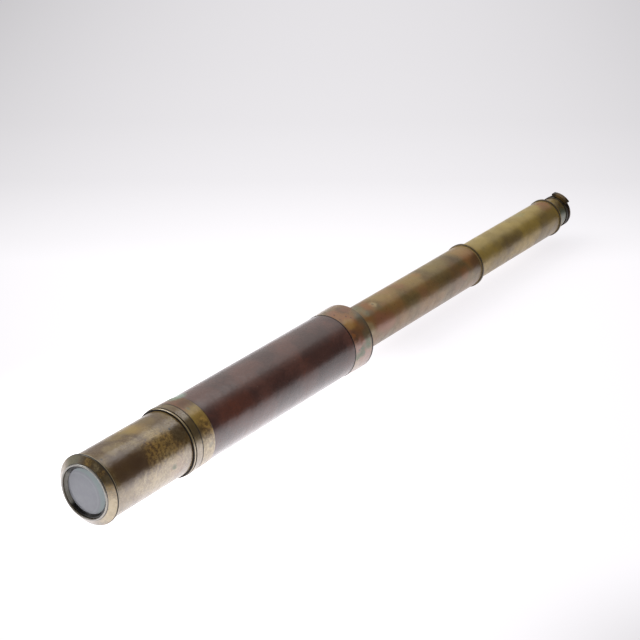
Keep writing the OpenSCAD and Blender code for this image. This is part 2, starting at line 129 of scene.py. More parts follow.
# Stains on each finish, in the order they are laid: station, angle, size, paint and strength.
# gold_grains and pale_grains are patches whose grains show, and verdigris is a matt crust.
# Some patches paint highlights and shade in part, as said at their tables.
# Bezel: the two black patches on the cone's top, at 10 and 42 degrees, are partly tarnish and
# partly a painted dark reflection
BEZEL_STAINS = (
    (4, 10, 13, "black_brass", 0.5), (4, 42, 9, "black_brass", 0.5),
    (1.3, 38, 3, "gold_grains", 0.8), (1.3, 8, 3.5, "gold_grains", 0.6),
    (1.3, 25, 3, "pale_grains", 0.5), (3, 84, 9, "pale_straw", 0.5),
    (3, 112, 11, "pale_straw", 0.45), (3, 76, 7, "gold_grains", 0.6),
    (3, 94, 6, "pale_grains", 0.8), (3, 86, 7, "gold_grains", 0.6),
    (3.2, 104, 12, "pale_grains", 1.0), (3, 125, 12, "pale_grains", 0.9),
    (3, -30, 7, "slate_green", 0.5))
# Front tube: the pale patches in a row from 22 to 57 mm, at 12 to 22 degrees, are partly pale wear
# and partly a painted highlight along the tube's streak
FRONT_TUBE_STAINS = (
    (22, 50, 15, "brown_brass", 0.8), (20, -8, 14, "brown_brass", 0.45),
    (45, -12, 14, "brown_brass", 0.3), (50, -13, 9, "straw_brass", 0.7),
    (36, -14, 7, "straw_brass", 0.35), (30, 14, 5, "pale_grains", 0.5),
    (41, 20, 5, "pale_grains", 0.45), (66, -8, 7, "straw_brass", 0.6),
    (56, 30, 6, "straw_brass", 0.4), (44, 74, 9, "gold_grains", 0.5),
    (28, 86, 7, "pale_grains", 0.5), (66, 98, 8, "copper_pink", 0.25),
    (33, 58, 9, "brown_brass", 0.65), (50, 40, 6, "brown_brass", 0.6),
    (22, 12, 6, "pale_brass", 0.35), (64, 72, 7, "pale_grains", 0.6),
    (68, -6, 12, "brown_brass", 0.5), (42, 60, 12, "brown_brass", 0.6),
    (58.5, 49, 13, "gold_grains", 0.75), (49, 56, 9, "gold_grains", 0.55),
    (46, 34, 5, "gold_grains", 0.4), (54, -2, 8, "gold_brass", 0.25),
    (57, 22, 8, "pale_grains", 0.4), (53, 97, 16, "pale_grains", 0.6),
    (37, 99, 12, "pale_grains", 0.6), (74, 83, 8, "pale_grains", 0.6),
    (70, 68, 6, "gold_grains", 0.5), (76, 46, 7, "black_brass", 0.4),
    (62.9, 92, 2.4, "verdigris", 0.7), (9.9, 19.2, 0.8, "grime", 0.8),
    (71.7, 33.2, 1.0, "grime", 0.9), (78, 66, 0.6, "grime", 0.7))
COLLAR_STAINS = (
    (88, 52, 9, "black_brass", 0.4), (88, 85, 9, "pale_grains", 0.35))
FRONT_FERRULE_STAINS = (
    (97, -10, 12, "copper_pink", 0.45), (95, 6, 8, "copper_pink", 0.45),
    (92.5, 24, 4, "copper_pink", 0.4), (99, 14, 7, "brown_brass", 0.6),
    (98, -14, 12, "brown_brass", 0.4), (99, 30, 7, "straw_brass", 0.6),
    (98, 42, 8, "straw_brass", 0.8), (99, 50, 8, "gold_brass", 0.3),
    (100, 38, 6, "gold_grains", 0.5), (98.9, 52, 6, "gold_grains", 1.0),
    (96.5, 59, 5, "brown_brass", 0.4), (100.5, 67, 6, "gold_grains", 1.0),
    (93, 58, 4, "black_brass", 0.3), (98, 88, 10, "pale_grains", 0.8),
    (98, 108, 10, "pale_grains", 0.8), (96.6, 21, 1.6, "slate_green", 0.5),
    (103, -20, 6, "verdigris", 0.9), (100, 90, 2.2, "slate_green", 0.4))
BARREL_STAINS = (
    (126, 60, 12, "red_wood", 0.5), (140, 64, 14, "red_wood", 0.5),
    (107.8, 62, 4, "black_wood", 0.8), (190, 50, 20, "black_wood", 0.35),
    (238, 52, 18, "black_wood", 0.6), (120, 20, 12, "dark_wood", 0.6))
REAR_FERRULE_STAINS = (
    (278, -12, 7, "olive_brass", 0.7), (279, -2, 5, "copper_pink", 0.6),
    (281, 10, 9, "rust_orange", 0.45), (288, 5, 6, "brown_brass", 0.6),
    (291, 8, 5, "copper_pink", 0.5), (282, 31, 7, "rust_orange", 0.6),
    (279.6, 36, 6, "gold_brass", 0.55), (294, 42, 7, "slate_green", 0.7),
    (296, 22, 5, "slate_green", 0.4), (281, 59, 7, "brown_brass", 0.55),
    (288, 62, 6, "black_brass", 0.15), (276.4, 58, 2.2, "rust_orange", 0.9),
    (282, 73, 5, "copper_pink", 0.8), (281.7, 90, 4.5, "verdigris", 0.9),
    (276.5, 94, 3.5, "verdigris", 0.8), (289.4, 82, 4.5, "verdigris", 0.8),
    (285, 84, 3, "verdigris", 0.6), (289, 106, 7, "copper_pink", 0.5),
    (279, 108, 8, "pale_grains", 0.6), (281, 84, 0.9, "grime", 0.9),
    (283.2, 20.7, 0.8, "grime", 0.6), (285.7, 27.7, 0.7, "grime", 0.6),
    (276, 20, 0.6, "grime", 0.6), (286, 50, 8, "rust_orange", 0.3),
    (283, 100, 5, "copper_pink", 0.6), (291, 66, 6, "slate_green", 0.45))
# First draw: the pale straw patches at -16 degrees from 345 to 456 mm, a row along the top, are a
# painted highlight streak
FIRST_DRAW_STAINS = (
    (326.2, 13.1, 3.2, "pale_brass", 0.8), (326.2, 13.1, 1.2, "slate_green", 0.7),
    (321, 6, 6, "rust_orange", 0.55), (316, 31, 4, "slate_green", 0.6),
    (312, 26, 4, "verdigris", 0.35), (310, 46, 4, "rust_orange", 0.35),
    (315, 40, 12, "rust_orange", 0.25), (318, 58, 9, "rust_orange", 0.2),
    (322, 66, 9, "copper_pink", 0.8), (332, 74, 8, "copper_pink", 0.7),
    (306, 66, 6, "pale_brass", 0.5), (326, 90, 7, "copper_pink", 0.4),
    (342, 52, 14, "rust_orange", 0.25), (351, -8, 7, "copper_pink", 0.5),
    (368, -3, 6, "copper_pink", 0.5), (393, -2, 5, "rust_orange", 0.5),
    (383, 50, 6, "copper_pink", 0.35), (430, 48, 20, "brown_brass", 0.4),
    (442, 68, 6, "rust_orange", 0.5), (459, 36, 11, "rust_orange", 0.55),
    (463, 60, 9, "brown_brass", 0.6), (455, 8, 9, "rust_orange", 0.35),
    (310, 0, 6, "verdigris", 0.3), (345, -16, 17, "pale_straw", 0.3),
    (382, -16, 17, "pale_straw", 0.3), (420, -16, 17, "pale_straw", 0.3),
    (456, -16, 14, "pale_straw", 0.3))
# Second draw: the pale straw patches from 486 to 580 mm, a row along the top, are a painted
# highlight streak
SECOND_DRAW_STAINS = (
    (592, 12, 8, "rust_orange", 0.7), (588, 50, 12, "olive_brass", 0.5),
    (560, -10, 6, "verdigris", 0.3), (486, -4, 14, "pale_straw", 0.6),
    (505, -4, 14, "pale_straw", 0.5), (524, -6, 14, "pale_straw", 0.55),
    (543, -8, 14, "pale_straw", 0.55), (562, -10, 13, "pale_straw", 0.55),
    (580, -14, 10, "pale_straw", 0.6))
EYEPIECE_STAINS = (
    (607, 8, 7, "straw_brass", 0.6), (613, 50, 8, "black_brass", 0.4),
    (616, 5, 5, "pale_brass", 0.3), (611, 88, 9, "slate_green", 0.85))
# Dark oxide on the eyepiece's rear rim: angle, size, strength
RIM_OXIDE = ((0, 3.4, 0.9), (40, 3.6, 0.95), (80, 3.2, 0.95), (110, 3.6, 0.95), (-40, 3.4, 0.9))

# Paper floor: its height and reach, how bright it shows itself, and how pale the lit paper is
SOLE = -0.0001
FLOOR_REACH = 6
GLOW = 1.7
PAPER = 0.56
GLOW_TINT = (0.99, 0.968, 1.0, 1)
BLACK = (0, 0, 0, 1)
DARKEST_PAPER = 0.2
# The paper's own frame, turned to the camera, and the tones of its painted glow on the way back
# over this length
PAPER_TURN = math.radians(35.6)
PAPER_START = (0.012, -0.016, 0)
TONE_LENGTH = 1.4
TONES = ((0.14, 1.0), (0.18, 0.94), (0.286, 0.82), (0.414, 0.77), (0.571, 0.76), (1.0, 0.76))
# How fast the painted glow falls off to either side
SIDE_FALL = -1.15
# The sheet ends on a slanting line on the camera's side
SHEET_SLANT = 0.146
SHEET_END = (-0.4, -0.225)
PAST_SHEET = 0.3
# A painted dark corner, and painted light that keeps the paper bright round the near end and
# darker away from it: centre, stretch, reach and tones
ZONES = (((-0.25, -0.46, 0), (1, 1, 0), 0.21, (0.57, 1.0)),
         ((-0.2, 0, 0), (0.8, 1, 0), 0.22, (1.0, 0.49)))

# Room: where its backdrop and ceiling are lit, and its levels as light, mirrored and seen
BACKDROP_WAY = (0.813, 0.582, 0)
BACKDROP_SLOPE = (-0.218, 0.842, 0.494)
CEILING = (0.78, 0.9)
UNLIT_SHARE = 0.5
MIRRORED = (0.03, 0.36)
CAMERA_WHITE = 0.9

# Lamps: width and length, and place
FAR_WINDOW = ((0.9, 0.9), (-0.25, 0.75, 1.0))
OVERHEAD_BOX = ((0.42, 0.14), (0.33, 0.04, 0.72))
LAMP_TARGET = (0.05, 0, AXIS_Z)


def linear(hex_colour):
    """Turns a written sRGB colour into the linear values that the shaders take"""
    parts = [int(hex_colour[i:i + 2], 16) / 255 for i in (1, 3, 5)]
    return tuple(c / 12.92 if c <= 0.04045 else ((c + 0.055) / 1.055) ** 2.4 for c in parts)


def radius_of(node):
    """Largest radius of a turned node, in millimetres"""
    low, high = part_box(node)
    return (high[1] - low[1]) / 2 / MM


def ends_of(node):
    """Front and rear station of a node, in millimetres from the lip"""
    low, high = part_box(node)
    return (low[0] - FRONT_X) / MM, (high[0] - FRONT_X) / MM


def length_property(title, text, millimetres, low, high):
    """A length that is given in millimetres and kept in metres"""
    return FloatProperty(name=title, description=text, default=millimetres * MM, min=low * MM,
                         max=high * MM, unit="LENGTH", precision=5)


def radius_property(title, text, node, low, high):
    """A radius that starts from its solid's own"""
    return length_property(title, text, radius_of(node), low, high)


def colour_property(title, text, hex_colour):
    """A colour that is given as sRGB hex"""
    return FloatVectorProperty(name=title, description=text, default=linear(hex_colour), size=3,
                               min=0, max=1, subtype="COLOR")


class TelescopeSizes(bpy.types.PropertyGroup):
    """Sizes that a user may change on the pieces that stand for the plain solids"""
    barrel_radius: radius_property(
        "Barrel radius", "Outer radius of the wooden barrel", "barrel_tube", 24, 25.5)
    front_tube_radius: radius_property(
        "Front tube radius", "Outer radius of the brass tube behind the objective", "front_tube",
        23.5, 24.5)
    bezel_radius: radius_property(
        "Bezel radius", "Radius of the objective cell's outer land", "objective_bezel", 24.5, 25.6)
    collar_radius: radius_property(
        "Collar radius", "Radius of the collar's wide band", "objective_collar", 25.2, 25.7)
    rear_radius: radius_property(
        "Rear ferrule radius", "Radius of the rear ferrule's end band", "rear_ferrule", 25.2, 25.7)
    draw_1_radius: radius_property(
        "First draw radius", "Outer radius of the first draw tube", "draw_1_tube", 17, 17.5)
    draw_2_radius: radius_property(
        "Second draw radius", "Outer radius of the second draw tube", "draw_2_tube", 15.5, 15.8)
    eyepiece_radius: radius_property(
        "Eyepiece radius", "Outer radius of the eyepiece head", "eyepiece_body", 13.8, 14)
    edge_round: length_property(
        "Broken edge", "Rounding of the turned pieces' plain edges", 0.15, 0.05, 0.3)
    turn_steps: IntProperty(
        name="Turning steps", description="Facets round each turned piece", default=160,
        min=48, max=256)


class TelescopeColours(bpy.types.PropertyGroup):
    """Colours of the finishes"""
    umber_brass: colour_property(
        "Umber brass", "Old lacquered brass with an even brown film", "#6f5426")
    olive_brass: colour_property(
        "Olive brass", "Old brass where the film has a green cast", "#7c6430")
    tan_brass: colour_property(
        "Tan brass", "Old brass with a lighter golden brown film", "#926b31")
    straw_brass: colour_property(
        "Straw brass", "Old brass where the film is thin and yellow", "#a58838")
    # Pale straw also paints the highlight streaks along the tops of the draws
    pale_straw: colour_property(
        "Pale straw", "Old brass where the film is nearly gone", "#c4ab62")
    brown_brass: colour_property(
        "Brown brass", "Old brass under a thick red-brown tarnish", "#583c20")
    black_brass: colour_property("Black brass", "Old brass that has gone nearly black", "#2a2116")
    gold_brass: colour_property("Gold brass", "Yellow grains in the tarnish", "#c39a4c")
    # Pale brass also paints the highlights round beads and ring edges, and along the front tube's
    # streak
    pale_brass: colour_property("Pale brass", "Brass rubbed down to a pale dry sheen", "#bca678")
    copper_pink: colour_property(
        "Copper pink", "Patches where the zinc has left the brass", "#9a6040")
    rust_orange: colour_property(
        "Rust orange", "Orange-brown patches by the end rings", "#a4642c")
    lip_grey: colour_property("Lip grey", "Grey wear on the objective's lip", "#8f8b82")
    verdigris: colour_property("Verdigris", "Thin pale green crust", "#8ba18d")
    slate_green: colour_property("Slate green", "Dark grey-green film", "#57604a")
    grime: colour_property("Grime", "Dirt in joints and pits", "#1c1512")
    blacking: colour_property("Blacking", "Matt black inside the tubes", "#141210")
    dark_wood: colour_property("Dark wood", "Barrel under old polish", "#644036")
    red_wood: colour_property("Red wood", "Red-brown blotches of the barrel", "#6f3c2a")
    black_wood: colour_property("Black wood", "Nearly black parts of the barrel", "#482f2a")
    glass: colour_property("Glass", "Dusty objective glass", "#b6b8c1")
    paper: colour_property("Paper", "Floor and backdrop", "#f4f2f4")


class TelescopeStage(bpy.types.PropertyGroup):
    """Camera and lamps"""
    camera_place: FloatVectorProperty(
        name="Camera", description="Where the camera stands", size=3,
        default=(-1.09855, -0.74995, 0.63498), subtype="TRANSLATION", unit="LENGTH")
    camera_back: FloatVectorProperty(
        name="Camera back", description="Direction from the subject to the camera", size=3,
        default=(-0.74119, -0.52994, 0.41206), subtype="DIRECTION")
    camera_lens: FloatProperty(
        name="Lens", description="Focal length on a 36 mm sensor", default=107.19, min=20, max=300,
        unit="CAMERA")
    window_power: FloatProperty(
        name="Window", description="Power of the soft lamp over the far side", default=9,
        min=0, max=100, unit="POWER")
    streak_power: FloatProperty(
        name="Overhead box", default=0.24, min=0, max=20, unit="POWER",
        description="Power of the lamp whose mirror image is the streak along the tubes")
    dome_strength: FloatProperty(
        name="Dome", description="Brightness of the white room", default=0.78, min=0, max=2)


# Shaping of the turned pieces


def sizes():
    """The sizes in millimetres"""
    group = bpy.context.scene.telescope_sizes
    return {key: getattr(group, key) / MM for key in group.__annotations__ if key != "turn_steps"}


def on_rim(edge, rim):
    """Whether an edge lies on the circle of a profile's corner"""
    for vert in edge.verts:
        radius = math.hypot(vert.co.y, vert.co.z - AXIS_Z)
        if (abs(vert.co.x - FRONT_X - rim[0] * MM) > ON_RIM
                or abs(radius - rim[1] * MM) > ON_RIM):
            return False
    return True


def turn(bm, profile):
    """Spins a closed profile round the optical axis and rounds its edges. Its corners are
    (s, r), or (s, r, rounding) where the edge is broken."""
    steps = bpy.context.scene.telescope_sizes.turn_steps
    wire = [bm.verts.new((FRONT_X + corner[0] * MM, 0, AXIS_Z + corner[1] * MM))
            for corner in profile]
    edges = [bm.edges.new(pair) for pair in zip(wire, wire[1:] + wire[:1])]
    bmesh.ops.spin(bm, geom=wire + edges, cent=(0, 0, AXIS_Z), axis=(1, 0, 0), angle=math.tau,
                   steps=steps, use_merge=True)
    bmesh.ops.remove_doubles(bm, verts=bm.verts, dist=1e-7)
    bmesh.ops.recalc_face_normals(bm, faces=bm.faces)
    rounded = [corner for corner in profile if len(corner) > 2]
    for width in sorted({corner[2] for corner in rounded}, reverse=True):
        rims = [corner for corner in rounded if corner[2] == width]
        chosen = [edge for edge in bm.edges if any(on_rim(edge, rim) for rim in rims)]
        if chosen:
            bmesh.ops.bevel(bm, geom=chosen, offset=width * MM, offset_type="OFFSET",
                            affect="EDGES", segments=4 if width > WIDE_RIM else 3, profile=0.5,
                            material=-1)


def tube_profile(node, outer, wall):
    """Profile of a plain tube as long as its solid"""
    front, rear = ends_of(node)
    return [(front, outer), (rear, outer), (rear, outer - wall), (front, outer - wall)]


def turned_piece(name, profile, body, replaced, finish):
    """Turns one piece from its profile and ties it to its body and its solids"""
    bm = bmesh.new()
    turn(bm, profile)
    bmesh.ops.recalc_face_normals(bm, faces=bm.faces)
    for face in bm.faces:
        face.smooth = True
    for edge in bm.edges:
        edge.smooth = not (len(edge.link_faces) == 2 and edge.calc_face_angle(0) > SHARP_EDGE)
    mesh = bpy.data.meshes.new(name)
    bm.to_mesh(mesh)
    bm.free()
    if not mesh.polygons:
        raise RuntimeError(name + " came out empty")
    piece = bpy.data.objects.new(name, mesh)
    bpy.context.scene.collection.objects.link(piece)
    mesh.materials.append(finish)
    piece.modifiers.new("Even shading", "WEIGHTED_NORMAL").keep_sharp = True
    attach(piece, body)
    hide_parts(*replaced)


# Finishes


def feed(tree, node, inputs):
    """Gives inputs of a node, by name or in order, a value or a link to another node's output"""
    for key, value in inputs.items() if isinstance(inputs, dict) else enumerate(inputs):
        if isinstance(value, bpy.types.NodeSocket):
            tree.links.new(value, node.inputs[key])
        else:
            node.inputs[key].default_value = value


def add(tree, kind, inputs=None, out=0, **settings):
    """Adds one node with its settings, values and links, and returns the output that is asked
    for, or the node itself where that is None"""
    made = tree.nodes.new(kind)
    for key, value in settings.items():
        setattr(made, key, value)
    feed(tree, made, inputs or {})
    return made if out is None else made.outputs[out]


def cleared_tree(block):
    """The emptied node tree of a new material or world"""
    block.use_nodes = True
    block.node_tree.nodes.clear()
    return block.node_tree


def blank_finish(name):
    """An empty material, its shader and its place in millimetres on the telescope"""
    finish = bpy.data.materials.new(name)
    tree = cleared_tree(finish)
    shader = add(tree, "ShaderNodeBsdfPrincipled", out=None)
    add(tree, "ShaderNodeOutputMaterial", {"Surface": shader.outputs[0]}, None)
    where = add(tree, "ShaderNodeTexCoord", out="Object")
    place = add(tree, "ShaderNodeMapping", {
        "Vector": where, "Scale": (1 / MM,) * 3, "Location": (-FRONT_X / MM, 0, -AXIS_Z / MM)})
    return finish, tree, shader, place


def colour_of(paint):
    """A colour with alpha, from its name or its hex value. A node's output stays as it is."""
    if not isinstance(paint, str):
        return paint
    if paint.startswith("#"):
        return linear(paint) + (1,)
    return tuple(getattr(bpy.context.scene.telescope_colours, paint)) + (1,)


def laid_on(tree, under, over, *masks):
    """Lays one colour over another, as strongly as its masks and shares multiplied together"""
    amount = masks[0]
    for mask in masks[1:]:
        amount = add(tree, "ShaderNodeMath", [amount, mask], operation="MULTIPLY")
    # Inputs 6 and 7 and output 2 are the ones for colours
    return add(tree, "ShaderNodeMix", {0: amount, 6: colour_of(under), 7: colour_of(over)}, 2,
               data_type="RGBA")


def built_up(tree, level, *layers):
    """A level with a share of each mask on top, for roughness, relief and coats that vary"""
    for mask, share in layers:
        level = add(tree, "ShaderNodeMath", [mask, share, level], operation="MULTIPLY_ADD")
    return level


def relief(tree, strength, depth, *layers):
    """Bump from masks, each with the share of the depth by which it stands up or lies in"""
    height = built_up(tree, 0, *layers)
    return add(tree, "ShaderNodeBump", {"Strength": strength, "Distance": depth, "Height": height})


def cloud(tree, place, size, low, high, detail, rough, seed, stretch=(1, 1, 1)):
    """A mask from 0 to 1 of uneven blotches of about one size in millimetres"""
    start = [seed * step for step in CLOUD_STEP]
    moved = add(tree, "ShaderNodeMapping", {"Vector": place, "Location": start, "Scale": stretch})
    noise = add(tree, "ShaderNodeTexNoise", {
        "Vector": moved, "Scale": 1 / size, "Detail": detail, "Roughness": rough})
    return add(tree, "ShaderNodeMapRange", [noise, low, high], **SMOOTH)


def dots(tree, place, per_mm, edge, heart, where=1):
    """A mask of small round dots, such as pits or lint, that is full at their heart, kept to
    where another mask lets them be"""
    cell = add(tree, "ShaderNodeTexVoronoi", {"Vector": place, "Scale": per_mm}, "Distance")
    dot = add(tree, "ShaderNodeMapRange", [cell, edge, heart])
    return add(tree, "ShaderNodeMath", [dot, where], operation="MULTIPLY")


def ragged(tree, place, reach, seed):
    """The place, pushed about by noise, so that stains drawn on it get ragged edges"""
    start = [seed * step for step in RAGGED_STEP]
    moved = add(tree, "ShaderNodeMapping", {"Vector": place, "Location": start})
    noise = add(tree, "ShaderNodeTexNoise", {
        "Vector": moved, "Scale": 0.16, "Detail": 6, "Roughness": 0.68}, "Color")
    push = add(tree, "ShaderNodeVectorMath", [noise, (0.5,) * 3], operation="SUBTRACT")
    return add(tree, "ShaderNodeVectorMath", [push, (reach,) * 3, place], operation="MULTIPLY_ADD")


def on_surface(station, angle, radius):
    """Point of the surface at a station and an angle from the top, in millimetres"""
    turned = math.radians(angle)
    return station, -radius * math.sin(turned), radius * math.cos(turned)


def stain(tree, place, point, size):
    """A mask for one soft stain round a point"""
    near = add(tree, "ShaderNodeVectorMath", [place, point], "Value", operation="DISTANCE")
    outer, inner = (size * share for share in STAIN_FADE)
    return add(tree, "ShaderNodeMapRange", [near, outer, inner], **SMOOTH)


def band(tree, place, station, width):
    """A mask for a band round the tube at one station, such as dirt packed in a joint"""
    along = add(tree, "ShaderNodeSeparateXYZ", [place], "X")
    off = add(tree, "ShaderNodeMath", [along, station], operation="SUBTRACT")
    near = add(tree, "ShaderNodeMath", [off], operation="ABSOLUTE")
    return add(tree, "ShaderNodeMapRange", [near, width, width * 0.5])


def aged_brass(name, ground="umber_brass", second="olive_brass", *, radius, seed, brown=0.35,
               mottle=0.25, pink=0, stains=(), bands=(), joints=(), coat=0.9, haze=0.16):
    """Lacquered brass, a century old: a thin brown to olive film over the metal, with grains of
    brighter yellow, copper-pink patches where the zinc has gone, a pale green crust, pits and
    dirt in the joints. A joint given an angle and a reach is darkened and dulled on that side
    only. Bands laid in pale brass are painted highlights round beads and rims, and some of the
    stains paint highlights and shade in part. The film is one third metal and the rest matt, and
    what is left of the lacquer gives it a soft neutral gloss, so the eye sees grey-white light
    on a warm brown ground. Dirt and crust have no gloss. The haze is how dull the gloss is."""
    finish, tree, shader, place = blank_finish(name)
    rough_place = ragged(tree, place, 7, seed)
    broad = cloud(tree, place, 24, 0.38, 0.62, 3, 0.55, seed)
    blotch = cloud(tree, place, 7, 0.42, 0.66, 6, 0.7, seed + 1)
    grains = cloud(tree, place, 2.6, 0.42, 0.62, 8, 0.8, seed + 2)
    specks = cloud(tree, place, 2.2, 0.52, 0.66, 7, 0.8, seed + 3)
    colour = laid_on(tree, ground, second, broad)
    colour = laid_on(tree, colour, "brown_brass", blotch, brown)
    colour = laid_on(tree, colour, "pale_brass", grains, mottle)
    colour = laid_on(tree, colour, "brown_brass", specks, mottle)
    if pink:
        patch = cloud(tree, place, 9, 0.56, 0.64, 5, 0.65, seed + 4, (0.6, 1, 1))
        colour = laid_on(tree, colour, "copper_pink", patch, pink)
    crust = 0
    for station, angle, size, paint, strength in stains:
        spot = stain(tree, place if size < SMALL_STAIN else rough_place,
                     on_surface(station, angle, radius), size)
        spot = add(tree, "ShaderNodeMath", [spot, strength], operation="MULTIPLY")
        if paint == "gold_grains":
            colour = laid_on(tree, colour, "brown_brass", spot, 0.45)
            colour = laid_on(tree, colour, "gold_brass", spot, grains)
        elif paint == "pale_grains":
            grainy = built_up(tree, 0.25, (grains, 0.75))
            colour = laid_on(tree, colour, "pale_brass", spot, grainy)
        elif paint == "verdigris":
            grainy = built_up(tree, 0.6, (grains, 0.4))
            spot = add(tree, "ShaderNodeMath", [spot, grainy], operation="MULTIPLY")
            crust = add(tree, "ShaderNodeMath", [crust, spot], operation="MAXIMUM")
        else:
            colour = laid_on(tree, colour, paint, spot)
    # Bands laid in pale brass are painted highlights round beads and ring edges
    for station, width, paint, strength in bands:
        colour = laid_on(tree, colour, paint, band(tree, place, station, width), strength)
    if crust:
        colour = laid_on(tree, colour, "verdigris", crust)
    patches = cloud(tree, place, 9, 0.5, 0.6, 3, 0.6, seed + 8)
    pits = dots(tree, place, 0.34, 0.16, 0.05, patches)
    dirt = add(tree, "ShaderNodeMath", [pits, 0.75], operation="MULTIPLY")
    for station, width, *part in joints:
        line = band(tree, place, station, width)
        if part:
            angle, reach = part
            near = stain(tree, place, on_surface(station, angle, radius), reach)
            line = add(tree, "ShaderNodeMath", [line, near], operation="MULTIPLY")
        dirt = add(tree, "ShaderNodeMath", [dirt, line], operation="MAXIMUM")
    dull = add(tree, "ShaderNodeMath", [crust, dirt], operation="MAXIMUM")
    waves = cloud(tree, place, 11, 0.2, 0.8, 2, 0.5, seed + 9)
    bump = relief(tree, 0.5, 0.12 * MM, (grains, 0.3), (pits, -0.4), (waves, 3.0))
    feed(tree, shader, {
        "Base Color": laid_on(tree, colour, "grime", dirt),
        "Metallic": built_up(tree, METAL_SHARE, (dull, -METAL_SHARE)),
        "Roughness": built_up(tree, 0.34, (blotch, 0.14), (dull, 0.25)),
        "Coat Weight": built_up(tree, coat, (dull, -coat)),
        "Coat Roughness": haze, "Coat IOR": OXIDE_IOR, "Normal": bump, "Coat Normal": bump})
    return finish


def polished_barrel():
    """Mahogany turned, stained and polished, and handled for a century: soft red-brown blotches
    in a brown ground, a faint grain along the tube, pits, scratches, pale specks that are partly
    fluff and partly painted glints, a top that turns greyer, partly with dust and partly as a
    painted sheen, a pale crust at the front end and dirt against both ferrules. The polish is
    rubbed thin, so the eye sees a dark wood with broad soft lights."""
    finish, tree, shader, place = blank_finish("polished_barrel_wood")
    rough_place = ragged(tree, place, 8, 2)
    radius = radius_of("barrel_tube")
    broad = cloud(tree, place, 26, 0.38, 0.64, 3, 0.55, 1)
    blotch = cloud(tree, place, 8, 0.48, 0.72, 5, 0.65, 2)
    grain = cloud(tree, place, 1.2, 0.4, 0.64, 4, 0.65, 3, (0.25, 1, 1))
    colour = laid_on(tree, "black_wood", "dark_wood", broad)
    colour = laid_on(tree, colour, "red_wood", blotch, 0.45)
    for station, angle, size, paint, strength in BARREL_STAINS:
        spot = stain(tree, rough_place, on_surface(station, angle, radius), size)
        colour = laid_on(tree, colour, paint, spot, strength)
    colour = laid_on(tree, colour, "black_wood", grain, 0.3)
    patches = cloud(tree, place, 8, 0.44, 0.58, 3, 0.6, 4)
    pits = dots(tree, place, 0.5, 0.2, 0.05, patches)
    colour = laid_on(tree, colour, "grime", pits, 0.6)
    # Pale specks, partly fluff in the polish and partly painted glints
    lint_and_glints = dots(tree, place, 0.2, 0.06, 0.02)
    colour = laid_on(tree, colour, "#b8a898", lint_and_glints, 0.5)
    # The top turns greyer with height: partly dust, partly a painted sheen of the lit room
    height = add(tree, "ShaderNodeSeparateXYZ", [place], "Z")
    dust = add(tree, "ShaderNodeMapRange", [height, 16, 24, 0, 0.16], **SMOOTH)
    colour = laid_on(tree, colour, "#a89f9a", dust)
    crust = stain(tree, rough_place, on_surface(107, -24, radius), 7)
    colour = laid_on(tree, colour, "verdigris", crust, 0.75)
    near, far = band(tree, place, SHOULDERS[0], 0.5), band(tree, place, SHOULDERS[1], 0.7)
    dirt = add(tree, "ShaderNodeMath", [near, far], operation="MAXIMUM")
    scratch = cloud(tree, place, 0.9, 0.42, 0.72, 3, 0.6, 6, (0.2, 1, 1))
    waves = cloud(tree, place, 13, 0.2, 0.8, 2, 0.5, 7)
    bump = relief(tree, 0.5, 0.1 * MM, (scratch, 0.25), (pits, -0.6), (waves, 3.0))
    feed(tree, shader, {
        "Base Color": laid_on(tree, colour, "grime", dirt, 0.9),
        "Roughness": built_up(tree, 0.27, (blotch, 0.08), (pits, 0.2)),
        "Specular IOR Level": 0.1, "Coat Weight": 1, "Coat IOR": POLISH_IOR,
        "Coat Roughness": 0.25, "Normal": bump, "Coat Normal": bump})
    return finish


def matt_blacking(name, gloss, grey_patches=()):
    """Black lacquer over brass, as put inside optical tubes: nearly black and dry, with grey
    patches where they are given, so the eye sees a dark ring with a dull edge."""
    finish, tree, shader, place = blank_finish(name)
    dust = cloud(tree, place, 2.2, 0.5, 0.75, 6, 0.7, 3)
    colour = laid_on(tree, "blacking", "#3c3833", dust, 0.5)
    for point, size in grey_patches:
        colour = laid_on(tree, colour, "lip_grey", stain(tree, place, point, size), 0.8)
    feed(tree, shader, {
        "Base Color": colour, "Roughness": built_up(tree, gloss, (dust, 0.2)),
        "Normal": relief(tree, 0.3, 0.05 * MM, (dust, 1))})
    return finish


def plain_brass():
    """Brass inside the tubes, turned and never handled: fine lathe rings and little tarnish, so
    the eye sees a yellower and brighter metal."""
    finish, tree, shader, place = blank_finish("inner_turned_brass")
    tarnish = cloud(tree, place, 8, 0.4, 0.65, 5, 0.65, 12)
    rings = cloud(tree, place, 0.6, 0.35, 0.65, 2, 0.5, 13, (1, 0.02, 0.02))
    feed(tree, shader, {
        "Base Color": laid_on(tree, "#b79c62", "#8f7748", tarnish), "Metallic": 1,
        "Roughness": built_up(tree, 0.28, (tarnish, 0.15)),
        "Normal": relief(tree, 0.2, 0.05 * MM, (rings, 1))})
    return finish


